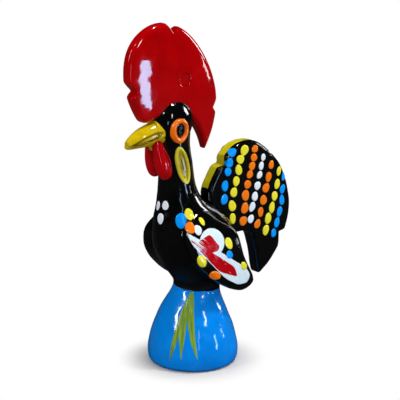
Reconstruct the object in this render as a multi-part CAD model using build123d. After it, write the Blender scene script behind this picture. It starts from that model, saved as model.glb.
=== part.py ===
from build123d import *
import os

os.makedirs("parts", exist_ok=True)

# A painted earthenware rooster on a bell-shaped base, in millimetres.
# It looks towards -X, its left side is towards -Y, and the middle of its foot is the origin.

# Clay
wall = 4.0                # thickness of the pressed shells
luting_gap = 0.15         # room round a tongue in its slot
cut_overrun = 2.0         # how far a cutter runs past the face that it starts from
solid_slices = 2          # slices at the top of the neck that aren't hollow

# Bell base
base_height = 45.0
base_radius = 26.4
waist_radius = 13.8
waist_lean = 2.6          # the waist stands this far behind the middle of the foot
foot_round = 3.6
vent_bore = 3.0           # lets the steam out while the clay is fired
collar_height = 5.0
collar_thickness = 2.6
collar_gap = 0.7          # round the collar in the body

# Torso and neck
torso_length = 52.4
torso_width = 36.0
shoulder_height = 51.0    # from the waist to where the neck starts
neck_radius = 10.0
neck_height = 50.0
neck_lean = 17.0          # the top of the neck stands this far in front of the waist

# Head
head_length = 27.0
head_forward = 0.6        # the middle of the head stands this far in front of the neck's top
head_width = 18.6
head_height = 27.2
head_sink = 1.4           # from the top of the neck down to the middle of the head

# Comb
comb_length = 62.2
comb_height = 75.2
comb_thickness = 10.0
comb_front = 31.5         # in front of the middle of the head
comb_drop = 19.0          # below the middle of the head
comb_round = 2.8
comb_lobe_round = 5.0     # at the foot of the front lobe
comb_tongue_length = 12.0
comb_tongue_thickness = 4.0
comb_tongue_depth = 5.0
plug_radius = 3.75
plug_sink = 0.4
plug_depth = 6.0
plug_round = 0.5

# Tail
tail_length = 62.0
tail_height = 83.2
tail_thickness = 10.0
tail_round = 2.4
tail_back = 6.0           # from the middle of the waist back to the foremost point of the tail
tail_tongue_length = 11.0
tail_tongue_thickness = 4.0
tail_tongue_height = 16.0

# Wings
wing_length = 49.0
wing_height = 55.0
wing_spread = 51.0        # over both wings
wing_bulge_length = 70.0  # half sizes of the round form that swells the outer face
wing_bulge_height = 43.0
wing_inside = 10.5        # from the middle plane to the free inner face of a wing tip
wing_tuck_share = 0.14    # by which the inner outline is smaller than the outer one
wing_round = 2.6
wing_inner_round = 1.2
wing_gap = 0.3            # between a wing and the bell
right_wing_lead = 2.4     # the right wing is luted on this far in front of the left one's place
right_wing_drop = 3.6     # and this far below it

# Beak
beak_length = 27.5
beak_root_height = 15.0
beak_root_width = 12.2
beak_drop = 5.2           # from the middle of the head down to the middle of the beak's root
mouth_tilt = 9.0          # degrees
mouth_drop = 0.4          # the mouth line's rear end lies this far below the middle of the root
mouth_groove = 0.9
lower_beak_inset = 0.8
cere_proud = 0.7          # how far the fold round the beak's root stands out
cere_round = 0.9
chin_depth = 4.6

# Wattles
wattle_length = 25.5
wattle_breadth = 10.4
wattle_thickness = 8.0
wattle_tilt = 15.0        # degrees, foot end backwards
wattle_splay = 5.5        # degrees, foot ends apart
wattle_apart = 5.6        # between the tops of the two
wattle_drop = 7.0         # from the middle of the head down to the top of a wattle
wattle_groove_length = 17.0
wattle_groove_width = 1.0
wattle_groove_depth = 1.6

# Ear lobes
ear_width = 7.8
ear_height = 22.0
ear_tilt = 12.0           # degrees, foot end backwards
ear_turn = 12.0           # degrees forward of straight sideways
ear_back = 1.8            # behind the axis of the neck's top
ear_rise = 1.7
ear_rim = 1.5
ear_dish = 1.1
ear_drop = 23.5           # from the middle of the head down to the middle of the lobe
ear_slit_length = 4.0
ear_slit_width = 0.7

# Eyes
eye_width = 12.0
eye_height = 14.6
eye_ring_thickness = 3.4
eye_ring_depth = 5.4
eye_forward = 0.9         # in front of the middle of the head
eye_drop = 3.8            # from the middle of the head down to the middle of the eye
bead_rise = 2.2
bead_gap = 0.1

# Outlines, as shares of the sizes that they follow

# Bell: (height, radius between waist and base, lean)
bell_shares = [
    (0.0, 0.96, 0.0), (0.09, 0.99, 0.0), (0.19, 1.0, 0.0), (0.31, 0.93, 0.0), (0.43, 0.82, 0.0),
    (0.56, 0.66, 0.02), (0.69, 0.47, 0.08), (0.82, 0.24, 0.28), (0.92, 0.07, 0.64), (1.0, 0.0, 1.0),
]

# Torso: (height, way from the waist to the neck, half length, half width)
torso_shares = [
    (0.1, 0.0, 0.54, 0.785), (0.23, 0.03, 0.72, 0.87), (0.385, 0.07, 0.9, 0.955),
    (0.56, 0.13, 1.0, 1.0), (0.73, 0.22, 0.94, 0.975), (0.865, 0.4, 0.8, 0.88), (1.0, 0.64, 0.58, 0.75),
]

# Neck: (height, way from the waist to the neck's top, half length, half width)
neck_shares = [
    (0.14, 0.78, 1.2, 1.13), (0.32, 0.85, 1.05, 1.02), (0.58, 0.93, 0.98, 0.96),
    (0.84, 0.98, 1.02, 0.93), (1.0, 1.0, 0.96, 0.86),
]

# Comb: runs of (length from the front, height from the foot), each one starting where the last ends
comb_shares = [
    [(0.858, 0.0), (0.811, 0.12), (0.692, 0.25), (0.455, 0.31), (0.173, 0.262)],
    [(0.173, 0.262), (0.03, 0.49), (0.0, 0.67), (0.06, 0.85), (0.19, 0.953), (0.36, 1.0), (0.593, 0.953),
     (0.791, 0.808), (0.951, 0.575), (1.0, 0.38), (0.984, 0.25), (0.93, 0.11), (0.858, 0.0)],
]
comb_notch_shares = [
    [(0.1, 0.518), (-0.06, 0.652), (-0.03, 0.438)],
    [(0.501, 0.92), (0.337, 1.086), (0.655, 1.022)],
    [(0.94, 0.32), (1.035, 0.43), (1.03, 0.24)],
]
plug_place_shares = (0.603, 0.57)

# Tail: runs of (length from the front, height from the tip of the sickle feather)
tail_shares = [
    [(0.1, 0.478), (0.03, 0.571), (0.0, 0.675), (0.06, 0.778), (0.16, 0.882), (0.29, 0.97), (0.46, 1.0),
     (0.62, 0.966), (0.73, 0.906), (0.83, 0.832), (0.95, 0.665), (1.0, 0.448), (0.93, 0.261), (0.79, 0.103),
     (0.625, 0.0)],
    [(0.625, 0.0), (0.597, 0.078), (0.577, 0.167), (0.54, 0.261), (0.5, 0.325), (0.42, 0.345), (0.22, 0.34)],
    [(0.22, 0.34), (0.1, 0.478)],
]
tail_notch_shares = [
    [(0.205, 0.852), (0.055, 0.832), (0.195, 0.961)],
    [(0.738, 0.87), (0.735, 0.98), (0.82, 0.877)],
    [(0.86, 0.287), (1.04, 0.304), (0.854, 0.137)],
]
tail_foot_share = 0.029   # of the base's height, from the waist down to the tip of the sickle feather
tail_tongue_share = 0.2   # of the tail's length, from its front
back_level_share = 0.76   # of the shoulder's height, up to the middle of the tail's tongue

# Wing: closed outline of (length from the front, height from the foot)
wing_shares = [
    (0.0, 0.66), (0.0, 0.77), (0.075, 0.885), (0.235, 0.98), (0.383, 0.945), (0.545, 0.82), (0.735, 0.7),
    (0.778, 0.6), (0.806, 0.45), (0.868, 0.305), (0.965, 0.17), (1.0, 0.075), (0.9, 0.0), (0.665, 0.03),
    (0.44, 0.14), (0.225, 0.3), (0.1, 0.43), (0.035, 0.54),
]
wing_front_share = 0.43   # of the torso's length, in front of the waist
wing_foot_share = 0.044   # of the base's height, below the waist
wing_swell_shares = (0.48, 0.29)    # where the outer face stands out most
wing_middle_shares = (0.45, 0.45)   # the point that the inner outline is drawn in towards

# Beak: (length from the root, height, width, sag as a share of the root's height)
beak_shares = [
    (0.0, 1.0, 1.0, 0.0), (0.22, 0.98, 1.0, 0.01), (0.47, 0.86, 0.92, 0.07), (0.7, 0.7, 0.72, 0.15),
    (0.87, 0.5, 0.48, 0.24), (0.97, 0.26, 0.26, 0.3),
]
beak_seat_share = 0.185   # of the head's length, from its middle forward to the beak's root
beak_groove_share = 0.12  # of the beak's length, from its tip back to the start of the groove
beak_tip_share = 0.32     # of the root's height, how far the tip sags
cere_start_share = 0.15   # of the beak's length, from its root to the back of the fold
cere_share = 0.16         # of the beak's length, over the fold
chin_place_share = 0.3

# Wattle: half outline of (radius, height from the foot)
wattle_shares = [(0.0, 0.0), (0.62, 0.06), (0.96, 0.24), (0.98, 0.45), (0.7, 0.78), (0.34, 0.96), (0.0, 1.0)]
wattle_seat_share = 0.5   # of the head's length, from its middle forward to the top of a wattle
wattle_fold_share = 0.45  # of the half breadth, behind the wattle's middle line

# Eye: closed outline of (half width, half height), narrower towards the foot
eye_plane_share = 0.87    # of the head's half width, out to the middle of the ring's depth
eye_shares = [(0.0, 1.0), (0.86, 0.62), (1.0, 0.12), (0.72, -0.6), (0.0, -1.0), (-0.72, -0.6), (-1.0, 0.12),
              (-0.86, 0.62)]

# Heights and places that several pieces use
shoulder_level = base_height + shoulder_height
neck_top = shoulder_level + neck_height
neck_x = waist_lean - neck_lean
head_x = neck_x - head_forward
head_level = neck_top - head_sink
crown_level = head_level + head_height / 2
wing_x = waist_lean - wing_front_share * torso_length
wing_foot = base_height - wing_foot_share * base_height
beak_root_x = head_x - beak_seat_share * head_length
beak_root_level = head_level - beak_drop
mouth_level = beak_root_level - mouth_drop
eye_x = head_x - eye_forward
eye_level = head_level - eye_drop
eye_plane = eye_plane_share * head_width / 2


def placed(shares, length, height, start_x=0, start_z=0):
    """Turn pairs of shares into points of the sizes that they follow."""
    return [(start_x + u * length, start_z + v * height) for u, v in shares]


def runs_face(runs):
    """Close a chain of straight and curved runs and fill it."""
    edges = [Line(*run) if len(run) == 2 else Spline(*run) for run in runs]
    return make_face(Curve() + edges)


def notched_slab(outline, notches, thickness, edge_round):
    """An upright slab of clay with rounded edges, into which notches were cut afterwards."""
    slab = extrude(Plane.XZ * outline, thickness / 2, both=True)
    slab = fillet(slab.faces().filter_by(Axis.Y).edges(), edge_round)
    for corners in notches:
        slab -= extrude(Plane.XZ * make_face(Polyline(*corners, close=True)), thickness, both=True)
    return slab


def level_oval(x, z, half_length, half_width):
    """A level oval slice of the figure."""
    return Pos(x, 0, z) * Ellipse(half_length, half_width)


def ellipsoid(x, y, z, half_length, half_width, half_height):
    """A ball stretched to three half sizes."""
    return Pos(x, y, z) * scale(Sphere(1), by=(half_length, half_width, half_height))


def mirrored(piece):
    """The same piece on the rooster's right side."""
    return mirror(piece, about=Plane.XZ)


def body_slices(inset=0):
    """The oval slices of torso and neck, drawn in by an inset."""
    slices = [level_oval(waist_lean, base_height, waist_radius - inset, waist_radius - inset)]
    for rise, way, long_share, wide_share in torso_shares:
        x = waist_lean - way * neck_lean
        z = base_height + rise * shoulder_height
        slices.append(level_oval(x, z, long_share * torso_length / 2 - inset, wide_share * torso_width / 2 - inset))
    for rise, way, long_share, wide_share in neck_shares:
        x = waist_lean - way * neck_lean
        z = shoulder_level + rise * neck_height
        slices.append(level_oval(x, z, long_share * neck_radius - inset, wide_share * neck_radius - inset))
    return slices


def head_form(growth=0):
    """The dome of the head."""
    halves = (head_length / 2 + growth, head_width / 2 + growth, head_height / 2 + growth)
    return ellipsoid(head_x, 0, head_level, *halves)


def body_form(growth=0):
    """Torso, neck and head as one solid form."""
    return loft(body_slices(-growth)) + head_form(growth)


def bell_form(inset=0):
    """The bell of the base, drawn in by an inset."""
    slices = []
    for rise, girth, lean in bell_shares:
        radius = waist_radius + girth * (base_radius - waist_radius) - inset
        slices.append(level_oval(lean * waist_lean, rise * base_height, radius, radius))
    return loft(slices)


def make_bell_base():
    """Hollow bell with a closed floor, a steam vent and a collar that enters the body."""
    bell = bell_form()
    foot = bell.faces().sort_by(Axis.Z)[0]
    bell = fillet(foot.edges(), foot_round)
    chamber_height = base_height - collar_height - wall
    chamber_room = Cylinder(base_radius, chamber_height, align=(Align.CENTER, Align.CENTER, Align.MIN))
    chamber = bell_form(wall) & Pos(0, 0, wall) * chamber_room
    collar_radius = waist_radius - wall - collar_gap
    collar = Pos(waist_lean, 0, base_height) * Cylinder(collar_radius, 2 * collar_height)
    mouth = Pos(waist_lean, 0, base_height) * Cylinder(collar_radius - collar_thickness, 2 * (collar_height + cut_overrun))
    vent = Cylinder(vent_bore / 2, 2 * (wall + cut_overrun))
    return bell + collar - chamber - mouth - vent


def make_body_halves(form):
    """Two pressed half shells that meet on the middle plane."""
    hollow = loft(body_slices(wall)[:-solid_slices])
    comb_slot = comb_tongue(luting_gap)
    tail_slot = tail_tongue(luting_gap)
    shell = form - hollow - comb_slot - tail_slot
    left = split(shell, Plane.XZ, keep=Keep.TOP)
    right = split(shell, Plane.XZ, keep=Keep.BOTTOM)
    return left, right


def comb_tongue(gap=0):
    """The tongue under the comb, or its slot in the crown with a gap all round."""
    length = comb_tongue_length + 2 * gap
    depth = 2 * comb_tongue_depth + 2 * gap
    return Pos(head_x, 0, crown_level) * Box(length, comb_tongue_thickness + 2 * gap, depth)


def make_comb(form, beak):
    """Notched slab that rides over the head, with a round hole for its plug."""
    x = head_x - comb_front
    z = head_level - comb_drop
    outline = runs_face([placed(run, comb_length, comb_height, x, z) for run in comb_shares])
    outline = fillet(outline.vertices().sort_by(Axis.X)[0], comb_lobe_round)
    notches = [placed(notch, comb_length, comb_height, x, z) for notch in comb_notch_shares]
    slab = notched_slab(outline, notches, comb_thickness, comb_round)
    hole = plug_pin(-comb_thickness / 2 - cut_overrun, plug_depth + cut_overrun)
    return slab - form - beak + (comb_tongue() & form) - hole


def plug_pin(start, depth):
    """A pin across the comb at its plug, from a level towards the right side."""
    x = head_x - comb_front + plug_place_shares[0] * comb_length
    z = head_level - comb_drop + plug_place_shares[1] * comb_height
    return Plane(origin=(x, start, z), z_dir=(0, 1, 0)) * extrude(Circle(plug_radius), depth)


def make_comb_plug():
    """Round plug of clay, set slightly below the comb's left face."""
    plug = plug_pin(plug_sink - comb_thickness / 2, plug_depth - plug_sink)
    return fillet(plug.faces().sort_by(Axis.Y)[0].edges(), plug_round)


def tail_tongue(gap=0):
    """The tongue under the tail, or its slot in the back with a gap all round."""
    x = waist_lean + tail_back + tail_tongue_share * tail_length
    z = base_height + back_level_share * shoulder_height
    return Pos(x, 0, z) * Box(tail_tongue_length + 2 * gap, tail_tongue_thickness + 2 * gap, tail_tongue_height)


def make_tail(form):
    """Lobed slab that stands on the back and ends in a sickle feather."""
    x = waist_lean + tail_back
    z = base_height - tail_foot_share * base_height
    outline = runs_face([placed(run, tail_length, tail_height, x, z) for run in tail_shares])
    notches = [placed(notch, tail_length, tail_height, x, z) for notch in tail_notch_shares]
    slab = notched_slab(outline, notches, tail_thickness, tail_round)
    return slab - form + (tail_tongue() & form)


def wing_slice(distance, tuck=0):
    """The left wing's outline at a distance from the middle plane, drawn in towards its middle by a share."""
    u_middle, v_middle = wing_middle_shares
    shares = [(u - tuck * (u - u_middle), v - tuck * (v - v_middle)) for u, v in wing_shares]
    outline = Spline(*placed(shares, wing_length, wing_height, wing_x, wing_foot), periodic=True)
    return Plane.XZ.offset(distance) * make_face(outline)


def make_wing(form, lead=0, drop=0):
    """Left wing, moved forward and down: a rounded pad on the flank with a free tip."""
    slab = loft([wing_slice(wing_inside, wing_tuck_share), wing_slice(wing_spread / 2)], ruled=True)
    swell_x = wing_x + wing_swell_shares[0] * wing_length
    swell_z = wing_foot + wing_swell_shares[1] * wing_height
    pad = slab & ellipsoid(swell_x, 0, swell_z, wing_bulge_length, wing_spread / 2, wing_bulge_height)
    outer = pad.faces().sort_by(Axis.Y)[0]
    pad = fillet(outer.edges(), wing_round)
    inner = pad.faces().sort_by(Axis.Y)[-1]
    pad = fillet(inner.edges(), wing_inner_round)
    return Pos(-lead, 0, -drop) * pad - form - bell_form(-wing_gap)


def beak_form(inset=0):
    """The beak in one piece, from its root inside the head to its rounded tip."""
    slices = []
    for out, high, wide, sag in beak_shares:
        middle = (beak_root_x - out * beak_length, 0, beak_root_level - sag * beak_root_height)
        halves = (wide * (beak_root_width / 2 - inset), high * (beak_root_height / 2 - inset))
        slices.append(Plane(origin=middle, x_dir=(0, 1, 0), z_dir=(-1, 0, 0)) * Ellipse(*halves))
    tip = Vertex(beak_root_x - beak_length + inset, 0, beak_root_level - beak_tip_share * beak_root_height)
    return loft(slices + [tip])


def mouth_block(thickness, start=0):
    """A tilted block round the mouth line that starts behind the tip of the beak."""
    block = Pos(-beak_length + start, 0, 0) * Box(beak_length + cut_overrun, 2 * beak_root_width, thickness,
                                                 align=(Align.MIN, Align.CENTER, Align.CENTER))
    return Pos(beak_root_x, 0, mouth_level) * Rot(0, -mouth_tilt, 0) * block


def cere():
    """The fold round the root of the upper beak."""
    back = beak_root_x - cere_start_share * beak_length
    start = Plane(origin=(back, 0, beak_root_level), x_dir=(0, 1, 0), z_dir=(-1, 0, 0))
    oval = Ellipse(beak_root_width / 2 + cere_proud, beak_root_height / 2 + cere_proud)
    fold = start * extrude(oval, cere_share * beak_length)
    return fillet(fold.faces().sort_by(Axis.X)[0].edges(), cere_round)


def make_beak(form):
    """Upper and lower beak, which meet at the mouth line with a groove between their lips."""
    lips = mouth_block(mouth_groove, beak_groove_share * beak_length) - beak_form(lower_beak_inset + mouth_groove)
    above = Pos(0, 0, beak_root_height / 2) * mouth_block(beak_root_height)
    under = Pos(0, 0, -beak_root_height / 2) * mouth_block(beak_root_height)
    upper = (beak_form() & above) - lips
    lower = (beak_form(lower_beak_inset) & under) - lips
    chin_x = beak_root_x - chin_place_share * beak_length
    chin_z = beak_root_level - beak_root_height / 2
    upper = upper + (cere() & above) - form
    lower = lower + ellipsoid(chin_x, 0, chin_z, chin_depth / 2, chin_depth / 2, chin_depth / 2)
    return upper, lower - upper - form


def make_wattle(form, upper_beak, lower_beak):
    """Left wattle: a flat drop that hangs from the corner of the beak, with a fold down its back."""
    points = [(radius * wattle_breadth / 2, (height - 1) * wattle_length) for radius, height in wattle_shares]
    profile = make_face(Curve() + [Spline(*points), Line(points[-1], points[0])])
    drop = scale(revolve(Plane.XZ * profile, Axis.Z), by=(1, wattle_thickness / wattle_breadth, 1))
    fold_halves = (wattle_groove_width / 2, wattle_groove_depth, wattle_groove_length / 2)
    fold = ellipsoid(wattle_fold_share * wattle_breadth / 2, -wattle_thickness / 2, -wattle_length / 2, *fold_halves)
    x = head_x - wattle_seat_share * head_length
    place = Pos(x, -wattle_apart / 2, head_level - wattle_drop) * Rot(-wattle_splay, -wattle_tilt, 0)
    return place * (drop - fold) - form - upper_beak - lower_beak


def ear_prism(inset=0):
    """An upright oval that reaches from inside the neck out through its left side."""
    oval = Rot(0, 0, ear_tilt) * Ellipse(ear_width / 2 - inset, ear_height / 2 - inset)
    block = extrude(Plane.XZ.offset(neck_radius / 2) * oval, neck_radius)
    return Pos(neck_x + ear_back, 0, head_level - ear_drop) * Rot(0, 0, -ear_turn) * block


def make_ear_lobe(form):
    """Left ear lobe: an oval pressed on the neck, with a raised rim round a dish and a slit in it."""
    lobe = ear_prism() & body_form(ear_rise)
    dish = ear_prism(ear_rim) - body_form(ear_rise - ear_dish)
    slit = Rot(0, 0, ear_tilt) * Rectangle(ear_slit_width, ear_slit_length)
    slit = extrude(Plane.XZ.offset(neck_radius / 2) * slit, neck_radius)
    slit = Pos(neck_x + ear_back, 0, head_level - ear_drop) * Rot(0, 0, -ear_turn) * slit
    return lobe - dish - (slit - body_form((ear_rise - ear_dish) / 2)) - form


def make_eye_ring(form):
    """Left eye ring: a clay coil bent to an egg shape and pressed on the head."""
    half_width = eye_width / 2 - eye_ring_thickness / 2
    half_height = eye_height / 2 - eye_ring_thickness / 2
    points = [(eye_x + u * half_width, eye_level + v * half_height) for u, v in eye_shares]
    path = Plane.XZ.offset(eye_plane) * Spline(*points, periodic=True)
    start = Plane(origin=path @ 0, z_dir=path % 0, x_dir=(0, 1, 0))
    ring = sweep(start * Ellipse(eye_ring_depth / 2, eye_ring_thickness / 2), path)
    return ring - form


def make_eye_bead(form, ring):
    """Left pupil: a low bead of clay inside the ring."""
    half_width = eye_width / 2 - eye_ring_thickness - bead_gap
    half_height = eye_height / 2 - eye_ring_thickness - bead_gap
    return ellipsoid(eye_x, -eye_plane, eye_level, half_width, bead_rise, half_height) - form - ring


def write(name, piece):
    """Write one piece to its own file."""
    piece.label = name
    export_step(piece, "parts/" + name + ".step")
    print(name, "valid" if piece.is_valid else "NOT VALID", len(piece.solids()), round(piece.volume, 2))


def main():
    form = body_form()
    upper_beak, lower_beak = make_beak(form)
    body_left, body_right = make_body_halves(form)
    write("bell_base", make_bell_base())
    write("body_left", body_left)
    write("body_right", body_right)
    write("beak_upper", upper_beak)
    write("beak_lower", lower_beak)
    write("comb", make_comb(form, upper_beak))
    write("comb_plug", make_comb_plug())
    write("tail", make_tail(form))
    write("wing_left", make_wing(form))
    write("wing_right", mirrored(make_wing(form, right_wing_lead, right_wing_drop)))
    ring = make_eye_ring(form)
    pairs = {
        "wattle": make_wattle(form, upper_beak, lower_beak),
        "ear_lobe": make_ear_lobe(form),
        "eye_ring": ring,
        "eye_bead": make_eye_bead(form, ring),
    }
    for name, piece in pairs.items():
        write(name + "_left", piece)
        write(name + "_right", mirrored(piece))


if __name__ == "__main__":
    main()
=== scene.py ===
import math

import bmesh
import bpy
from mathutils import Matrix, Vector
from mathutils.bvhtree import BVHTree
from mathutils.kdtree import KDTree


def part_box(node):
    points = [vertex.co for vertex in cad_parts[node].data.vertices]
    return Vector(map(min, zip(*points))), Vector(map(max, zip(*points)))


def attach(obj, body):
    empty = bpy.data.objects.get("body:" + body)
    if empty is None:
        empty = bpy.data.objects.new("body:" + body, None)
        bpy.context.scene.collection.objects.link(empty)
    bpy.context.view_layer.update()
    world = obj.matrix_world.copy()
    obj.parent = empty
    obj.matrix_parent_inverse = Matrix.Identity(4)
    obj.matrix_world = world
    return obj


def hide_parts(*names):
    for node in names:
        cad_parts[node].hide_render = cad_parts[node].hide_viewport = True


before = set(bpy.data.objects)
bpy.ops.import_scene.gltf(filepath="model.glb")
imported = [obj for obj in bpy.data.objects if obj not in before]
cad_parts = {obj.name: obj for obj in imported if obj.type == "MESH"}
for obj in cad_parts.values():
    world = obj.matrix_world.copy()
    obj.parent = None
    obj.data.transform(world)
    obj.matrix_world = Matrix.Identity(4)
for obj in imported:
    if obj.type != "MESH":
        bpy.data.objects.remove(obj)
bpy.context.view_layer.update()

bl_info = {
    "name": "Painted clay rooster",
    "version": (1, 0, 0),
    "blender": (4, 5, 0),
    "location": "View3D > Sidebar > Rooster",
    "description": "Dresses the pressed clay rooster in enamel, daubs of paint and varnish",
    "category": "Object",
}

MM = 0.001
UP = Vector((0, 0, 1))
SIDES = {"left": -1, "right": 1}

# Daubs of paint on the left face of the tail. Columns run from front to back, and each from the top down:
# colour, lean in degrees, and the daubs as (x, z, width, height) in mm
TAIL_COLUMNS = [
    ("blue", 4, [
        (25.4, 121.6, 5.6, 5.2), (23.3, 115.7, 5.1, 6.0), (22.1, 110.6, 5.1, 5.2), (19.9, 102.5, 5.1, 6.2),
        (19.4, 94.5, 5.1, 6.5), (17.5, 87.3, 5.1, 5.7)]),
    ("yellow", 12, [
        (34.3, 121.7, 6.0, 6.5), (31.3, 116.7, 5.6, 5.6), (30.1, 110.5, 5.1, 6.5), (28.3, 104.0, 5.1, 6.0),
        (26.5, 97.6, 5.1, 6.2), (25.4, 89.6, 5.4, 7.1), (25.8, 81.9, 4.7, 6.5)]),
    ("orange", 4, [
        (42.3, 121.3, 4.7, 4.7), (41.6, 116.2, 5.1, 4.7), (40.2, 111.3, 5.1, 5.0), (38.5, 106.5, 4.7, 5.0),
        (36.9, 100.7, 5.1, 5.4), (35.4, 94.3, 5.8, 6.5), (34.9, 86.6, 5.8, 6.5), (33.8, 79.0, 5.5, 6.0)]),
    ("white", -14, [
        (48.8, 115.3, 3.5, 4.4), (47.2, 110.3, 4.0, 5.0), (46.0, 105.0, 4.0, 4.8), (44.5, 98.7, 4.7, 5.4),
        (42.6, 92.5, 4.8, 5.6), (40.6, 86.4, 4.7, 5.9), (39.6, 79.2, 4.7, 5.4)]),
    ("orange", -8, [
        (55.0, 109.8, 4.2, 5.1), (53.0, 102.7, 4.7, 6.1), (51.1, 96.3, 5.1, 6.1), (49.2, 89.2, 5.1, 6.2),
        (47.2, 82.2, 4.4, 5.9), (44.8, 75.2, 4.7, 5.7)]),
    ("yellow", -6, [
        (61.0, 105.1, 3.6, 5.7), (59.7, 97.3, 4.2, 6.4), (57.9, 90.2, 4.5, 6.2), (55.8, 83.5, 4.5, 7.0),
        (53.0, 77.2, 5.1, 6.8), (51.3, 70.3, 4.7, 6.8)]),
    ("blue", -8, [
        (64.8, 101.3, 3.2, 5.4), (64.0, 93.5, 3.8, 6.2), (63.6, 86.8, 3.9, 6.5), (61.8, 80.0, 4.3, 6.2),
        (59.9, 73.5, 4.1, 6.5), (57.4, 67.4, 3.8, 5.7)]),
]

# Daubs on the shoulder and on the wing: colour, (x, z), width, height in mm and lean in degrees
SHOULDER_DAUBS = [
    ("blue", (-17.6, 89.8), 6.4, 9.0, 4),
    ("yellow", (-12.9, 93.0), 4.8, 7.6, 20),
    ("orange", (-15.6, 86.9), 5.8, 7.2, 14),
    ("white", (-11.3, 84.9), 4.9, 6.0, 22),
    ("yellow", (-7.1, 88.9), 2.9, 5.6, 14),
]
WING_DAUBS = [
    ("yellow", (7.7, 74.6), 5.0, 7.2, 28),
    ("blue", (7.4, 68.2), 4.2, 5.4, 34),
    ("yellow", (18.0, 59.4), 4.4, 5.6, 36),
    ("yellow", (-12.0, 67.9), 5.2, 7.8, 34),
    ("orange", (-3.3, 57.9), 7.8, 5.2, -24),
]

# How far the right side's daubs lie further back (x) and higher (z) than the left side's, in mm
RIGHT_SHIFT = {"tail": (1.6, 0.0), "shoulder": (4.5, -3.6), "wing": (-1.5, -3.6)}

# White daubs on the chest: angle from straight ahead towards the left side in degrees, then z, width
# and height in mm
CHEST_DAUBS = [(-5.5, 96.5, 3.8, 5.6), (9.5, 97.7, 4.2, 5.6), (4.5, 90.1, 4.6, 6.6)]

# A daub's section from its middle to its edge: share of its reach and share of its rise
DAUB_SECTION = [(0.0, 0.86), (0.35, 0.9), (0.62, 0.96), (0.82, 0.86), (0.94, 0.5), (1.0, -0.15)]
DAUB_CORNERS = 28

# How far out the rays start that find a daub's place, in mm
TAIL_RAY_START = 20
WING_RAY_START = 50
CHEST_RAY_START = 60

# The heart on the left wing, as places (x, z) in mm, and its round lobe as middle and half sizes
HEART_WHITE = [(-18.3, 84.2), (-11.7, 79.9), (13.2, 62.3), (20.4, 57.2), (22.9, 52.3), (21.0, 49.0),
               (14.5, 49.0), (2.0, 56.3), (-9.2, 68.7), (-15.9, 75.9)]
HEART_LOBE = ((-3.6, 76.9), (8.5, 7.9))
HEART_RED_UPPER = [(-13.1, 78.6), (-4.5, 81.5), (0.9, 74.3), (-0.6, 71.6), (-7.1, 71.5)]
HEART_RED_LOWER = [(-16.6, 79.4), (10.4, 59.8), (12.2, 54.9), (-0.4, 60.2), (-9.6, 70.1), (-14.7, 76.0)]

# The heart's front end (x), where its red starts to run dry in front (x), and from where white specks show
# through the red as a painted highlight across its long axis, in mm, that axis as cosine and sine, and what is
# added to x and z on the right wing
HEART_TIP = -18.5
HEART_DRY_FRONT = -5.0
HEART_HIGHLIGHT_START = 54.5
HEART_TURN = (0.763, -0.646)
RIGHT_HEART_SHIFT = (-1.6, 3.6)

# The leaf on the bell in mm: height of its top, how far its middle and the point that it fans out from
# lie from there, half width of a stroke, the way it faces, and slope, bend and length of each stroke
LEAF_TOP = 46.4
LEAF_MIDDLE = 2.5
LEAF_FAN_POINT = 7.0
LEAF_HALF_STROKE = 5.3
LEAF_FACING = (-0.766, -0.643)
LEAF_STROKES = [(-0.319, 0.00123, 40.5), (-0.251, 0.00419, 38.6), (-0.0344, 0.00497, 38.0)]

# Where the black meets the blue: height in mm and slope along x and y
WAIST_HEIGHT = 44.9
WAIST_SLOPE = (0.08, -0.036)

# The tail's yellow edge in mm: its middle and half width across, its lowest height and how far back it reaches
EDGE_MIDDLE = 0.9
EDGE_HALF_WIDTH = 3.1
EDGE_FOOT = 101.8
EDGE_BACK = 48.0

# The nostril fold and the ear lobe's dish: middle (x, z), half sizes in mm, and turn as cosine and sine
NOSTRIL_MIDDLE = (-34.9, 137.4)
NOSTRIL_HALF = (7.6, 1.6)
NOSTRIL_TURN = (0.943, 0.334)
LOBE_MIDDLE = (-14.6, 121.2)
LOBE_HALF = (2.4, 8.6)
LOBE_TURN = (0.98, 0.19)

# How far behind a pad's middle its dish or dome lies, in mm
DISH_OFFSET = 0.49

# The wattle's fold: a place on it (x, z) in mm, and its slope
FOLD_PLACE = (-23.4, 126.0)
FOLD_SLOPE = 0.36

# Varnish: its mirror strength and the roughness of its top coat
VARNISH_GLOSS = 0.3
TOP_COAT_ROUGHNESS = 0.04

# Lamps: name, place, target, width and height in metres, brightness and tint
MIDDLE = (0, 0, 0.1)
WHITE = (1, 1, 1)
SKY = (0.42, 0.66, 1.0)
LAMPS = [
    ("top lamp", (0.22, -0.33, 0.95), MIDDLE, 0.08, 0.08, 240, WHITE),
    ("front strip", (-0.9, 0.09, 0.56), MIDDLE, 0.08, 0.42, 30, WHITE),
    ("high left lamp", (-0.56, -0.52, 0.87), MIDDLE, 0.07, 0.1, 40, WHITE),
    ("left softbox", (0.03, -0.9, 0.5), MIDDLE, 0.08, 0.22, 20, WHITE),
    ("right strip", (0.76, -0.25, 0.33), MIDDLE, 0.1, 0.28, 20, WHITE),
    ("right window", (0.64, -0.505, 0.095), MIDDLE, 0.022, 0.075, 15, WHITE),
    ("sky window", (0.196, -0.478, 0.055), (-0.03, 0, 0.16), 0.045, 0.12, 20, SKY),
    ("low sky strip", (-0.15, -0.38, 0.12), MIDDLE, 0.016, 0.1, 9, SKY),
]

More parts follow.
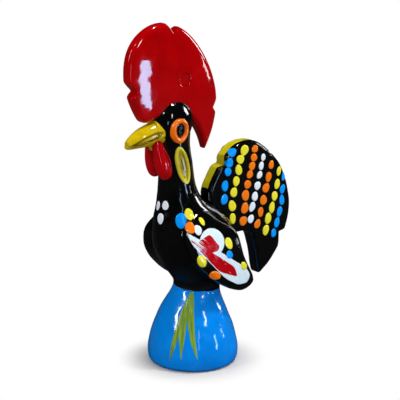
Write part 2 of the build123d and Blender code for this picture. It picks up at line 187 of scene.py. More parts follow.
# Floor: half its side in metres, and from where to where it fades to white in mm from the middle.
# Floor and walls: their tones as the camera sees them, as they light the figure and as the varnish mirrors them
FLOOR_HALF_SIDE = 4
FLOOR_FADE = (22.0, 46.0)
FLOOR_PALE = ((0.68, 0.655, 0.63), (0.65, 0.625, 0.6))
FLOOR_BOUNCE = (0.36, 0.36, 0.36)
FLOOR_MIRRORED = (0.03, 0.03, 0.03)
WALL_LIGHT = (0.4, 0.4, 0.4)
WALL_MIRRORED = (0.008, 0.008, 0.008)

# Camera: the point that it aims at in metres, and the picture's width and the figure's shift in pixels
AIM_POINT = (0.004, 0, 0.1)
PICTURE_WIDTH = 400
PICTURE_SHIFT = (1.9, -7.2)


def darker(colour, share):
    """A paint colour brought down to a share of its strength."""
    return tuple(channel * share for channel in colour)


def linear(red, green, blue):
    """A screen colour from 0 to 255 as the linear values that a shader takes."""
    values = [channel / 255 for channel in (red, green, blue)]
    return tuple(v / 12.92 if v <= 0.04045 else ((v + 0.055) / 1.055) ** 2.4 for v in values)


def colour_property(name, description, colour):
    """A paint colour that can be changed in the sidebar."""
    return bpy.props.FloatVectorProperty(name=name, description=description, default=colour, size=3,
                                         min=0, max=1, subtype="COLOR")


def length_property(name, description, millimetres):
    """A length that can be changed in the sidebar."""
    return bpy.props.FloatProperty(name=name, description=description, default=millimetres * MM, min=0,
                                   precision=5, subtype="DISTANCE", unit="LENGTH")


class RoosterSizes(bpy.types.PropertyGroup):
    """Sizes of the paint film and of the modelling."""

    skin_grain: length_property("Skin grain", "Cell size of the skin over body, comb, tail and base", 0.45)
    fine_grain: length_property("Fine grain", "Cell size of the skin over the small pieces of the head", 0.2)
    unevenness: length_property("Unevenness", "How far the hand-pressed clay strays from its shape", 0.5)
    daub_rise: length_property("Daub rise", "How far a daub of paint stands out", 0.28)


class RoosterColours(bpy.types.PropertyGroup):
    """The paints on the bench."""

    black: colour_property("Black", "Ground of body, wings and tail", linear(5, 5, 5))
    blue: colour_property("Blue", "Ground of the bell base", linear(0, 134, 232))
    red: colour_property("Red", "Comb", linear(170, 0, 4))
    wattle_red: colour_property("Wattle red", "Wattles", linear(178, 0, 8))
    yellow: colour_property("Beak yellow", "Beak", linear(210, 178, 6))
    lobe_yellow: colour_property("Lobe yellow", "Ear lobes", linear(212, 196, 50))
    orange: colour_property("Ring orange", "Eye rings", linear(246, 114, 12))
    edge_yellow: colour_property("Edge yellow", "Front and top edge of the tail", linear(226, 212, 24))
    daub_blue: colour_property("Daub blue", "Blue daubs", linear(0, 156, 255))
    daub_yellow: colour_property("Daub yellow", "Yellow daubs", linear(244, 232, 50))
    daub_orange: colour_property("Daub orange", "Orange daubs", linear(252, 124, 10))
    daub_white: colour_property("Daub white", "White daubs", linear(236, 243, 252))
    heart_red: colour_property("Heart red", "Inside of the heart", linear(192, 0, 12))
    heart_white: colour_property("Heart white", "Edge of the heart", linear(228, 246, 253))
    leaf_green: colour_property("Leaf green", "Leaf on the base", linear(138, 172, 36))
    clay: colour_property("Clay", "Bare clay under the foot", linear(176, 104, 70))


class RoosterStudio(bpy.types.PropertyGroup):
    """Camera and lamps."""

    azimuth: bpy.props.FloatProperty(name="Azimuth", description="Camera's turn towards the rooster's face",
                                     default=math.radians(-38), subtype="ANGLE", unit="ROTATION")
    elevation: bpy.props.FloatProperty(name="Elevation", description="Camera's height as an angle",
                                       default=math.radians(15), subtype="ANGLE", unit="ROTATION")
    distance: length_property("Distance", "From the camera to the middle of the figure", 900)
    lens: bpy.props.FloatProperty(name="Lens", description="Focal length on a 36 mm wide sensor",
                                  default=140.7, min=1, subtype="DISTANCE_CAMERA")
    lamp_level: bpy.props.FloatProperty(name="Lamp level", description="Factor on the power of all lamps",
                                        default=1.0, min=0)


# Shader expressions

class Field:
    """A shader socket that Python expressions can work on."""

    def __init__(self, nodes, socket):
        self.nodes = nodes
        self.socket = socket

    def math(self, operation, first, second=0.0):
        return self.nodes.node("ShaderNodeMath", {"operation": operation}, {0: first, 1: second})

    def __add__(self, other):
        return self.math("ADD", self, other)

    def __radd__(self, other):
        return self.math("ADD", other, self)

    def __sub__(self, other):
        return self.math("SUBTRACT", self, other)

    def __rsub__(self, other):
        return self.math("SUBTRACT", other, self)

    def __mul__(self, other):
        return self.math("MULTIPLY", self, other)

    def __rmul__(self, other):
        return self.math("MULTIPLY", other, self)

    def __truediv__(self, other):
        return self.math("DIVIDE", self, other)

    def __pow__(self, other):
        return self.math("POWER", self, other)

    def __abs__(self):
        return self.math("ABSOLUTE", self)

    def least(self, other):
        return self.math("MINIMUM", self, other)

    def most(self, other):
        return self.math("MAXIMUM", self, other)

    def ramp(self, low, high):
        """From 0 below low to 1 above high, smoothly."""
        return self.nodes.node("ShaderNodeMapRange", {"interpolation_type": "SMOOTHSTEP"},
                               {"Value": self, "From Min": low, "From Max": high})


class Nodes:
    """A node tree that all its nodes are added to by one method."""

    def __init__(self, owner):
        owner.use_nodes = True
        self.tree = owner.node_tree
        self.tree.nodes.clear()

    def node(self, kind, settings=None, sockets=None, output=0):
        """Add a node with its settings and the values or links of its sockets, and give back one output."""
        made = self.tree.nodes.new(kind)
        for key, value in (settings or {}).items():
            setattr(made, key, value)
        for key, value in (sockets or {}).items():
            if isinstance(value, Field):
                self.tree.links.new(value.socket, made.inputs[key])
            else:
                made.inputs[key].default_value = value
        return Field(self, made.outputs[output]) if made.outputs else None

    def mix(self, factor, low, high):
        """Blend two colours."""
        low, high = ((*colour, 1) if isinstance(colour, tuple) else colour for colour in (low, high))
        return self.node("ShaderNodeMix", {"data_type": "RGBA"}, {"Factor": factor, 6: low, 7: high}, output=2)


class Enamel(Nodes):
    """The node tree of one finish, with the surface's place in millimetres."""

    def __init__(self, name):
        self.material = bpy.data.materials.new(name)
        super().__init__(self.material)
        self.place = self.node("ShaderNodeVectorMath", {"operation": "SCALE"},
                               {0: self.node("ShaderNodeTexCoord", output="Object"), "Scale": 1 / MM})
        self.x = self.node("ShaderNodeSeparateXYZ", sockets={0: self.place}, output="X")
        self.y = self.node("ShaderNodeSeparateXYZ", sockets={0: self.place}, output="Y")
        self.z = self.node("ShaderNodeSeparateXYZ", sockets={0: self.place}, output="Z")

    def noise(self, size, detail=2.0, stretch=(1, 1, 1), shift=(0, 0, 0)):
        """Noise of lumps of a size in millimetres, drawn out by a stretch along each axis."""
        scale = tuple(1 / (size * s) for s in stretch)
        place = self.node("ShaderNodeMapping", sockets={
            "Vector": self.place, "Location": shift, "Scale": scale})
        return self.node("ShaderNodeTexNoise", sockets={"Vector": place, "Scale": 1.0, "Detail": detail})

    def streaks(self, across, along, scale):
        """Noise drawn out along a brush stroke."""
        place = self.node("ShaderNodeCombineXYZ", sockets={0: across, 1: along})
        return self.node("ShaderNodeTexNoise", sockets={"Vector": place, "Scale": scale, "Detail": 3.0})

    def finish(self, colour, bump, roughness, coat=0.5):
        """Close the tree with a varnished paint film. Bump is a height in millimetres."""
        normal = self.node("ShaderNodeBump", sockets={"Strength": 1.0, "Distance": MM, "Height": bump})
        return self.surface(self.node("ShaderNodeBsdfPrincipled", sockets={
            "Base Color": colour, "Roughness": roughness, "Specular IOR Level": VARNISH_GLOSS,
            "Coat Weight": coat, "Coat Roughness": TOP_COAT_ROUGHNESS, "Normal": normal}))

    def surface(self, shader):
        """Close the tree with a shader."""
        self.node("ShaderNodeOutputMaterial", sockets={"Surface": shader})
        return self.material


# Finishes

def brushed(enamel, stretch, depth):
    """Height of brush marks and of the pressed clay's lumps, in millimetres."""
    return enamel.noise(1.1, 3.0, stretch) * depth + enamel.noise(5.5, 2.0) * (5 * depth)


def orange_peel(enamel):
    """Fine unevenness of varnish over black, which breaks up what it mirrors, in millimetres."""
    return enamel.noise(0.8, 2.0, shift=(2, 5, 1)) * 0.03


def ragged_edge(enamel, size, reach):
    """A shift to and fro of an edge that a brush left, by half a reach either way."""
    return enamel.noise(size, 3.0) * reach - reach / 2


def turned(x, z, turn):
    """The two distances of a place along axes that are turned by a cosine and sine."""
    cosine, sine = turn
    return x * cosine + z * sine, z * cosine - x * sine


def painted(enamel, colour, depth, stretch):
    """A paint film that is thinner and darker in places, with streaks of the brush."""
    dark = darker(colour, 0.55)
    light = tuple(min(1, channel * 1.12 + 0.0006) for channel in colour)
    pool = enamel.noise(9.0, 3.0).ramp(0.35, 0.75) * depth
    streak = enamel.noise(0.9, 4.0, stretch).ramp(0.52, 0.8) * depth
    film = enamel.mix(enamel.noise(14.0).ramp(0.4, 0.7), colour, light)
    return enamel.mix((pool + streak).least(1.0), film, dark)


def uneven_gloss(enamel, low, high):
    """A roughness that changes over the varnish."""
    return low + enamel.noise(6.0, 3.0, shift=(7, 3, 5)).ramp(0.35, 0.75) * (high - low)


def plain_enamel(name, colour, depth, stretch, marks, low=0.1, high=0.24):
    """A piece in one paint."""
    enamel = Enamel(name)
    film = painted(enamel, colour, depth, stretch)
    return enamel.finish(film, brushed(enamel, stretch, marks), uneven_gloss(enamel, low, high))


def waist_mask(enamel):
    """1 above the hand-drawn line where the black of the body meets the blue of the base."""
    slope_x, slope_y = WAIST_SLOPE
    wobble = enamel.noise(7.0, 2.0, (1, 1, 3)) - 0.5
    return (enamel.z + enamel.x * slope_x + enamel.y * slope_y + wobble).ramp(WAIST_HEIGHT, WAIST_HEIGHT + 0.3)


def leaf_strokes(enamel):
    """Three strokes of a round brush that fan out from the waist, and the streaks in them."""
    face_x, face_y = LEAF_FACING
    across = enamel.y * face_x - enamel.x * face_y
    down = LEAF_TOP - enamel.z
    fan = across / (down + LEAF_FAN_POINT) * 24.0
    streaks = enamel.streaks(fan, down * 0.05, 1.3)
    ragged = streaks * 1.6 - 0.8
    mask = None
    for slope, bend, length in LEAF_STROKES:
        share = (down / length).most(0.001).least(0.999)
        centre = LEAF_MIDDLE + down * slope + down * down * bend
        half = LEAF_HALF_STROKE * share ** 0.62 * (1 - share) ** 0.78
        stroke = (half + ragged * 0.5 - abs(across - centre)).ramp(0.0, 0.35) * (down - 0.4).ramp(0.0, 0.6)
        mask = stroke if mask is None else mask.most(stroke)
    facing = (enamel.x * face_x + enamel.y * face_y).ramp(0.0, 1.0)
    return mask * facing, streaks


def base_enamel(colours):
    """Blue bell with the leaf, a black rim at the waist and bare clay under the foot."""
    enamel = Enamel("base enamel")
    blue = painted(enamel, tuple(colours.blue), 0.2, (5, 5, 1))
    leaf, streaks = leaf_strokes(enamel)
    shade = streaks.ramp(0.36, 0.6)
    green = enamel.mix(shade, darker(colours.leaf_green, 0.5), tuple(colours.leaf_green))
    film = enamel.mix(leaf * (0.94 + shade * 0.06), blue, green)
    film = enamel.mix(waist_mask(enamel), film, tuple(colours.black))
    bare = (enamel.z + enamel.noise(2.0) * 0.5).ramp(0.55, 0.3)
    film = enamel.mix(bare, film, tuple(colours.clay))
    rough = uneven_gloss(enamel, 0.07, 0.2).most(bare * 0.85)
    height = brushed(enamel, (4, 4, 1), 0.02) + leaf * 0.05 + leaf * shade * 0.04
    return enamel.finish(film, height, rough)


def body_enamel(colours):
    """Black body that ends in a hand-drawn line above the blue, duller where the varnish runs thin below."""
    enamel = Enamel("body enamel")
    black = painted(enamel, tuple(colours.black), 0.4, (1, 1, 6))
    film = enamel.mix(waist_mask(enamel), tuple(colours.blue), black)
    thin = (68.0 - enamel.z).ramp(0.0, 9.0)
    rough = uneven_gloss(enamel, 0.07, 0.2).most(thin * 0.5)
    return enamel.finish(film, brushed(enamel, (1, 1, 2), 0.02) + orange_peel(enamel), rough, 0.5 * (1 - thin))


def patch(enamel, x, z, corners):
    """How far a place lies inside a patch of paint with these corners, in millimetres."""
    inside = None
    for (x1, z1), (x2, z2) in zip(corners, corners[1:] + corners[:1]):
        length = math.hypot(x2 - x1, z2 - z1)
        across, up = (z1 - z2) / length, (x2 - x1) / length
        edge = -across * (x - x1) - up * (z - z1)
        inside = edge if inside is None else enamel.node("ShaderNodeMath", {"operation": "SMOOTH_MIN"},
                                                         {0: inside, 1: edge, 2: 2.4})
    return inside


def heart_masks(enamel, lead, drop):
    """The white heart that lies along the wing, the red inside it with white specks of painted highlight at its
    upper right, and the brush's streaks in both.
    """
    x = enamel.x + lead
    z = enamel.z + drop
    ragged = ragged_edge(enamel, 1.8, 0.4)
    along, side = turned(x, z, HEART_TURN)
    lines = enamel.streaks(along * 0.09, side * 1.3, 1.0)
    (lobe_x, lobe_z), (lobe_width, lobe_height) = HEART_LOBE
    u = (x - lobe_x) / lobe_width
    v = (z - lobe_z) / lobe_height
    lobe = (1 - (u * u + v * v) ** 0.5) * lobe_height
    white = (patch(enamel, x, z, HEART_WHITE) + 0.6).most(lobe)
    white = (white + ragged).ramp(0.0, 0.3) * (x - HEART_TIP).ramp(0.0, 1.0)
    upper = patch(enamel, x, z, HEART_RED_UPPER)
    lower = patch(enamel, x, z, HEART_RED_LOWER)
    dry_front = (HEART_DRY_FRONT - x).ramp(0.0, 8.0) * 0.14
    # Painted highlight: white specks let through the red at the upper right of the round lobe stand in for a
    # lamp's reflection
    painted_highlight = (side - HEART_HIGHLIGHT_START).ramp(0.0, 3.0) * (x + 4.0).ramp(0.0, 3.0) * 0.2
    thin = dry_front + painted_highlight
    # The red breaks up where the brush ran dry in front, and as a painted highlight at the upper right
    dry_and_highlight = (lines + thin).ramp(0.68, 0.72)
    red = (upper.most(lower + 0.5) + 0.3 + ragged).ramp(0.0, 0.3) * (1 - dry_and_highlight)
    return white, red, lines


def wing_enamel(colours, side):
    """Black wing with the white and red heart on its outer face."""
    lead, drop = (0.0, 0.0) if side == "left" else RIGHT_HEART_SHIFT
    enamel = Enamel("wing enamel " + side)
    black = painted(enamel, tuple(colours.black), 0.4, (4, 1, 2))
    white, red, lines = heart_masks(enamel, lead, drop)
    normal = enamel.node("ShaderNodeTexCoord", output="Normal")
    sideways = enamel.node("ShaderNodeSeparateXYZ", sockets={0: normal}, output="Y")
    outer_face = (sideways * SIDES[side]).ramp(0.1, 0.3)
    white = white * outer_face
    red = red * outer_face
    pale = enamel.mix(lines.ramp(0.35, 0.7), tuple(colours.heart_white), darker(colours.heart_white, 0.9))
    deep = enamel.mix(lines.ramp(0.35, 0.6), tuple(colours.heart_red), darker(colours.heart_red, 0.85))
    film = enamel.mix(white, black, pale)
    film = enamel.mix(red * white, film, deep)
    marks = brushed(enamel, (2, 1, 1), 0.02) + orange_peel(enamel) * (1 - white)
    height = marks + white * 0.1 + white * lines * 0.1
    return enamel.finish(film, height, uneven_gloss(enamel, 0.08, 0.2), 0.5 * (1 - white * 0.6))


def tail_enamel(colours):
    """Black tail with its front and top edge in yellow."""
    enamel = Enamel("tail enamel")
    black = painted(enamel, tuple(colours.black), 0.4, (1, 1, 5))
    yellow = painted(enamel, tuple(colours.edge_yellow), 0.35, (3, 1, 3))
    ragged = ragged_edge(enamel, 2.5, 1.2)
    edge = (abs(enamel.y - EDGE_MIDDLE) + ragged * 0.5).ramp(EDGE_HALF_WIDTH + 0.3, EDGE_HALF_WIDTH)
    high = (enamel.z + ragged).ramp(EDGE_FOOT, EDGE_FOOT + 0.5)
    front = (enamel.x + ragged * 2).ramp(EDGE_BACK, EDGE_BACK - 1.5)
    film = enamel.mix(edge * (high * front), black, yellow)
    height = brushed(enamel, (1, 1, 2), 0.02) + orange_peel(enamel)
    return enamel.finish(film, height, uneven_gloss(enamel, 0.07, 0.2))


def beak_enamel(colours):
    """Yellow beak with a long nostril fold pressed into each side of it, its groove darkened with painted
    shade.
    """
    enamel = Enamel("beak enamel")
    film = painted(enamel, tuple(colours.yellow), 0.5, (4, 1, 1))
    middle_x, middle_z = NOSTRIL_MIDDLE
    half_length, half_width = NOSTRIL_HALF
    along, side = turned(enamel.x - middle_x, enamel.z - middle_z, NOSTRIL_TURN)
    u = along / half_length
    v = side / half_width
    ring = abs((u * u + v * v) ** 0.5 - 1.0) * half_width
    groove = 1 - ring.ramp(0.15, 0.8)
    # Painted shade: the nostril fold's groove is darkened in the colour as well as pressed in by the bump
    film = enamel.mix(groove * 0.8, film, darker(colours.yellow, 0.22))
    height = brushed(enamel, (4, 1, 1), 0.03) - groove * 0.55
    return enamel.finish(film, height, uneven_gloss(enamel, 0.08, 0.2))


def wattle_enamel(colours):
    """Red wattle with the fold that runs down behind its middle, the fold darkened with painted shade."""
    enamel = Enamel("wattle enamel")
    film = painted(enamel, tuple(colours.wattle_red), 0.35, (1, 1, 5))
    fold_x, fold_z = FOLD_PLACE
    below = enamel.z - fold_z
    fold = enamel.x - fold_x + below * FOLD_SLOPE
    groove = (0.75 - abs(fold)).ramp(0.0, 0.7) * (abs(below) - 6.0).ramp(2.0, 0.0)
    # Painted shade: the fold's groove is darkened in the colour as well as pressed in by the bump
    film = enamel.mix(groove * 0.8, film, darker(colours.wattle_red, 0.2))
    height = brushed(enamel, (1, 1, 4), 0.02) - groove * 0.5
    return enamel.finish(film, height, uneven_gloss(enamel, 0.06, 0.18))


def lobe_enamel(colours):
    """Yellow ear lobe, with painted shade that turns its dish amber and the slit at its middle brown."""
    enamel = Enamel("lobe enamel")
    film = painted(enamel, tuple(colours.lobe_yellow), 0.3, (1, 1, 3))
    middle_x, middle_z = LOBE_MIDDLE
    half_width, half_length = LOBE_HALF
    across, along = turned(enamel.x - middle_x, enamel.z - middle_z, LOBE_TURN)
    reach = ((across / half_width) ** 2 + (along / half_length) ** 2) ** 0.5
    # Painted shade in the pressed dish: its colour is darkened towards amber
    dish_shade = tuple(c * share for c, share in zip(colours.lobe_yellow, (0.6, 0.5, 0.1)))
    film = enamel.mix(reach.ramp(1.05, 0.8) * 0.75, film, dish_shade)
    slit = 0.5 - abs(across + along * 0.06) + ragged_edge(enamel, 0.9, 0.7)
    slit = slit.ramp(0.0, 0.3) * reach.ramp(0.55, 0.35)
    # Painted shade in the slit: its colour is darkened nearly to a dark brown
    film = enamel.mix(slit * 0.85, film, darker(colours.lobe_yellow, 0.12))
    height = brushed(enamel, (1, 1, 3), 0.03) - slit * 0.2
    return enamel.finish(film, height, uneven_gloss(enamel, 0.1, 0.25))


def daub_paint(colours, name):
    """Thick paint of a daub, streaked where the ground shows through."""
    colour = tuple(getattr(colours, "daub_" + name))
    enamel = Enamel("daub paint " + name)
    thin = enamel.noise(0.7, 3.0, (1, 1, 4)).ramp(0.5, 0.85) * (0.45 if name == "yellow" else 0.22)
    film = enamel.mix(thin, colour, darker(colour, 0.45))
    return enamel.finish(film, brushed(enamel, (1, 1, 3), 0.02), uneven_gloss(enamel, 0.08, 0.2))


# Meshes

def smooth_object(name, mesh):
    """An object of a mesh with soft shading."""
    mesh.name = name
    mesh.polygons.foreach_set("use_smooth", [True] * len(mesh.polygons))
    made = bpy.data.objects.new(name, mesh)
    bpy.context.scene.collection.objects.link(made)
    return made


def joined_nodes(name, nodes, drop_seam=False):
    """One mesh of several CAD nodes, without the faces where two shells meet on the middle plane."""
    work = bmesh.new()
    for node in nodes:
        work.from_mesh(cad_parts[node].data)
    if drop_seam:
        seam = [face for face in work.faces if all(abs(v.co.y) < 0.01 * MM for v in face.verts)]
        bmesh.ops.delete(work, geom=seam, context="FACES")
        bmesh.ops.remove_doubles(work, verts=work.verts, dist=0.01 * MM)
    mesh = bpy.data.meshes.new(name)
    work.to_mesh(mesh)
    work.free()
    return mesh


def skin(name, nodes, grain, rounds, lumps, drop_seam=False):
    """A soft skin over CAD nodes: remeshed, with edges rounded as paint rounds them, and slightly uneven."""
    source = smooth_object(name + " source", joined_nodes(name, nodes, drop_seam))
    remesh = source.modifiers.new("grain", "REMESH")
    remesh.mode = "VOXEL"
    remesh.voxel_size = grain * 1
    soften = source.modifiers.new("soften", "SMOOTH")
    soften.iterations = rounds
    clouds = bpy.data.textures.new(name + " lumps", "CLOUDS")
    clouds.noise_scale = 11 * MM
    uneven = source.modifiers.new("lumps", "DISPLACE")
    uneven.texture = clouds
    uneven.strength = lumps
    uneven.mid_level = 0.5
    graph = bpy.context.evaluated_depsgraph_get()
    mesh = bpy.data.meshes.new_from_object(source.evaluated_get(graph))
    bpy.data.objects.remove(source)
    return mesh


def outer_line(places, step):
    """Points every step along the taut line round places, as a string pulled round them would lie."""
    places = sorted(set((round(x, 4), round(z, 4)) for x, z in places))
    line = []
    for order in (places, places[::-1]):
        side = []
        for place in order:
            while len(side) > 1 and ((side[-1][0] - side[-2][0]) * (place[1] - side[-2][1])
                                     <= (side[-1][1] - side[-2][1]) * (place[0] - side[-2][0])):
                side.pop()
            side.append(place)
        line += side[:-1]
    points = []
    for (x1, z1), (x2, z2) in zip(line, line[1:] + line[:1]):
        count = max(1, int(math.hypot(x2 - x1, z2 - z1) / step))
        points += [(x1 + (x2 - x1) * k / count, z1 + (z2 - z1) * k / count) for k in range(count)]
    return points


def pillow(mesh, reach, share):
    """Thin an upright slab towards its outer line by a share of its thickness."""
    rim = outer_line([(v.co.x, v.co.z) for v in mesh.vertices if abs(v.normal.y) < 0.35], 0.5 * MM)
    near = KDTree(len(rim))
    for index, (x, z) in enumerate(rim):
        near.insert((x, 0, z), index)
    near.balance()
    for vertex in mesh.vertices:
        distance = near.find((vertex.co.x, 0, vertex.co.z))[2]
        vertex.co.y *= 1 - share * (1 - min(1, distance / reach)) ** 2


def dish(mesh, box, depth):
    """Press a thumb's dish into the outer face of a small pad, or raise a dome by a negative depth."""
    low, high = (Vector(corner) for corner in box)
    middle, half = (low + high) / 2, (high - low) / 2
    for vertex in mesh.vertices:
        place = vertex.co - middle
        across, along = turned(place.x, place.z, LOBE_TURN)
        reach = math.hypot((across - DISH_OFFSET * MM) / (0.6 * half.x), along / (0.8 * half.z))
        facing = abs(vertex.normal.y) if vertex.normal.y * middle.y > 0 else 0
        vertex.co.y -= math.copysign(depth * facing * max(0, 1 - reach ** 3), middle.y)


def hang_on(piece, nodes, material):
    """Let a piece stand for CAD nodes in its own finish."""
    piece.data.materials.clear()
    piece.data.materials.append(material)
    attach(piece, "root")
    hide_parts(*nodes)
    return piece


def split_mesh(mesh, owners):
    """Share out a mesh among named trees: each face goes to the tree that it lies nearest to."""
    picks = {name: [] for name in owners}
    for face in mesh.polygons:
        near = {name: tree.find_nearest(face.center)[3] for name, tree in owners.items()}
        picks[min(near, key=near.get)].append(face.index)
    meshes = {}
    for name, indices in picks.items():
        work = bmesh.new()
        work.from_mesh(mesh)
        work.faces.ensure_lookup_table()
        keep = set(indices)
        bmesh.ops.delete(work, geom=[f for f in work.faces if f.index not in keep], context="FACES")
        meshes[name] = bpy.data.meshes.new(name)
        work.to_mesh(meshes[name])
        work.free()
    return meshes


def tree_of(mesh):
    """A tree for casting rays on a mesh."""
    return BVHTree.FromPolygons([v.co for v in mesh.vertices], [tuple(p.vertices) for p in mesh.polygons])


def pieces_tree(parts):
    """A tree for casting rays on several pieces at once."""
    vertices, faces = [], []
    for part in parts:
        mesh = bpy.data.objects[part].data
        first = len(vertices)
        vertices += [v.co.copy() for v in mesh.vertices]
        faces += [tuple(first + i for i in p.vertices) for p in mesh.polygons]
    return BVHTree.FromPolygons(vertices, faces)


def add_daub(work, tree, start, direction, width, height, lean, rise, phase):
    """Add a lens of paint where a ray meets the surface. Its foot dips just under the surface."""
    spot, normal, _, _ = tree.ray_cast(start, direction)
    if spot is None:
        raise RuntimeError("a daub's ray misses the figure: %s" % start)
    up = (UP - normal * UP.dot(normal)).normalized()
    across = up.cross(normal)
    turn = Matrix.Rotation(math.radians(lean), 3, normal)
    up, across = turn @ up, turn @ across
    loops = []
    for share, lift in DAUB_SECTION:
        loop = []
        for k in range(1 if share == 0 else DAUB_CORNERS):
            angle = math.tau * k / DAUB_CORNERS
            wobble = 1 + 0.05 * math.sin(2 * angle + phase) + 0.035 * math.sin(3 * angle + 2.3 * phase)
            reach = across * (math.cos(angle) * width / 2) + up * (math.sin(angle) * height / 2)
            point = spot + reach * (share * wobble)
            hit, hit_normal, _, _ = tree.ray_cast(point + normal * (6 * MM), -normal)
            bend = reach.length * share * 0.35 + 0.3 * MM
            if hit is None or abs((hit - point).dot(normal)) > bend:
                hit, hit_normal = point - normal * bend, normal
            loop.append(work.verts.new(hit + hit_normal * (rise * lift)))
        loops.append(loop)
    for k in range(DAUB_CORNERS):
        after = (k + 1) % DAUB_CORNERS
        work.faces.new((loops[0][0], loops[1][k], loops[1][after]))
        for inner, outer in zip(loops[1:], loops[2:]):
            work.faces.new((inner[k], outer[k], outer[after], inner[after]))


def daub_object(name, daubs, colour):
    """One object of daubs in one colour. Each daub is a tuple of arguments for add_daub."""
    work = bmesh.new()
    for daub in daubs:
        add_daub(work, *daub)
    bmesh.ops.recalc_face_normals(work, faces=work.faces)
    mesh = bpy.data.meshes.new(name)
    work.to_mesh(mesh)
    work.free()
    piece = smooth_object(name, mesh)
    colours = bpy.context.scene.rooster_colours
    paint = bpy.data.materials.get("daub paint " + colour) or daub_paint(colours, colour)
    mesh.materials.append(paint)
    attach(piece, "root")
    return piece


def grouped(daubs):
    """Sort pairs of colour and daub by colour."""
    groups = {}
    for colour, daub in daubs:
        groups.setdefault(colour, []).append(daub)
    return groups


# Operators

class ROOSTER_OT_base(bpy.types.Operator):
    """Dress the bell base"""

    bl_idname = "rooster.base"
    bl_label = "Bell Base"

    def execute(self, context):
        sizes = context.scene.rooster_sizes
        mesh = skin("base_skin", ["bell_base"], sizes.skin_grain, rounds=4, lumps=sizes.unevenness)
        blue = base_enamel(context.scene.rooster_colours)
        hang_on(smooth_object("base_skin", mesh), ["bell_base"], blue)
        return {"FINISHED"}


class ROOSTER_OT_body(bpy.types.Operator):
    """Dress body shells and wings in one skin, as their luted joints are wiped smooth before painting"""

    bl_idname = "rooster.body"
    bl_label = "Body and Wings"

    def execute(self, context):
        sizes = context.scene.rooster_sizes
        colours = context.scene.rooster_colours
        shells = ["body_left", "body_right"]
        wings = ["wing_left", "wing_right"]
        whole = skin("whole_skin", shells + wings, sizes.skin_grain, rounds=9, lumps=sizes.unevenness,
                     drop_seam=True)
        owners = {"body_skin": tree_of(joined_nodes("shells", shells))}
        for wing in wings:
            owners[wing + "_skin"] = tree_of(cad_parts[wing].data)
        meshes = split_mesh(whole, owners)
        hang_on(smooth_object("body_skin", meshes["body_skin"]), shells, body_enamel(colours))
        for side in SIDES:
            name = "wing_%s_skin" % side
            paint = wing_enamel(colours, side)
            hang_on(smooth_object(name, meshes[name]), ["wing_" + side], paint)
        return {"FINISHED"}


class ROOSTER_OT_tail(bpy.types.Operator):
    """Dress the tail"""

    bl_idname = "rooster.tail"
    bl_label = "Tail"

    def execute(self, context):
        sizes = context.scene.rooster_sizes
        mesh = skin("tail_skin", ["tail"], sizes.skin_grain, rounds=7, lumps=sizes.unevenness)
        black = tail_enamel(context.scene.rooster_colours)
        hang_on(smooth_object("tail_skin", mesh), ["tail"], black)
        return {"FINISHED"}


class ROOSTER_OT_comb(bpy.types.Operator):
    """Dress the comb and its plug"""

    bl_idname = "rooster.comb"
    bl_label = "Comb"

    def execute(self, context):
        sizes = context.scene.rooster_sizes
        paint = tuple(context.scene.rooster_colours.red)
        red = plain_enamel("comb enamel", paint, depth=0.25, stretch=(2, 1, 3), marks=0.006,
                           low=0.04, high=0.09)
        mesh = skin("comb_skin", ["comb"], sizes.skin_grain, rounds=5, lumps=0.25 * sizes.unevenness)
        pillow(mesh, reach=24 * MM, share=0.36)
        hang_on(smooth_object("comb_skin", mesh), ["comb"], red)
        mesh = skin("plug_skin", ["comb_plug"], sizes.fine_grain, rounds=4, lumps=0)
        hang_on(smooth_object("plug_skin", mesh), ["comb_plug"], red)
        return {"FINISHED"}


class ROOSTER_OT_beak(bpy.types.Operator):
    """Dress the upper and lower beak"""

    bl_idname = "rooster.beak"
    bl_label = "Beak"

    def execute(self, context):
        sizes = context.scene.rooster_sizes
        yellow = beak_enamel(context.scene.rooster_colours)
        for node in ("beak_upper", "beak_lower"):
            mesh = skin(node + "_skin", [node], sizes.fine_grain, rounds=6, lumps=0.3 * sizes.unevenness)
            hang_on(smooth_object(node + "_skin", mesh), [node], yellow)
        return {"FINISHED"}


class ROOSTER_OT_wattles(bpy.types.Operator):
    """Dress the wattles"""

    bl_idname = "rooster.wattles"
    bl_label = "Wattles"

    def execute(self, context):
        sizes = context.scene.rooster_sizes
        red = wattle_enamel(context.scene.rooster_colours)
        for side in SIDES:
            node = "wattle_" + side
            mesh = skin(node + "_skin", [node], sizes.fine_grain, rounds=3, lumps=0.3 * sizes.unevenness)
            hang_on(smooth_object(node + "_skin", mesh), [node], red)
        return {"FINISHED"}


class ROOSTER_OT_ear_lobes(bpy.types.Operator):
    """Dress the ear lobes"""

    bl_idname = "rooster.ear_lobes"
    bl_label = "Ear Lobes"

    def execute(self, context):
        sizes = context.scene.rooster_sizes
        yellow = lobe_enamel(context.scene.rooster_colours)
        for side in SIDES:
            node = "ear_lobe_" + side
            mesh = skin(node + "_skin", [node], sizes.fine_grain, rounds=3, lumps=0)
            dish(mesh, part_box(node), depth=0.9 * MM)
            hang_on(smooth_object(node + "_skin", mesh), [node], yellow)
        return {"FINISHED"}


class ROOSTER_OT_eyes(bpy.types.Operator):
    """Dress the eye rings and the beads inside them"""

    bl_idname = "rooster.eyes"
    bl_label = "Eyes"

    def execute(self, context):
        sizes = context.scene.rooster_sizes
        colours = context.scene.rooster_colours
        orange = plain_enamel("ring enamel", tuple(colours.orange), depth=0.3, stretch=(1, 1, 1), marks=0.04)
        black = plain_enamel("bead enamel", tuple(colours.black), depth=0.1, stretch=(1, 1, 1), marks=0.004,
                             low=0.03, high=0.06)
        for side in SIDES:
            ring, bead = "eye_ring_" + side, "eye_bead_" + side
            mesh = skin(ring + "_skin", [ring], sizes.fine_grain, rounds=4, lumps=0)
            hang_on(smooth_object(ring + "_skin", mesh), [ring], orange)
            mesh = skin(bead + "_skin", [bead], sizes.fine_grain, rounds=4, lumps=0)
            dish(mesh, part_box(bead), depth=-0.7 * MM)
            hang_on(smooth_object(bead + "_skin", mesh), [bead], black)
        return {"FINISHED"}


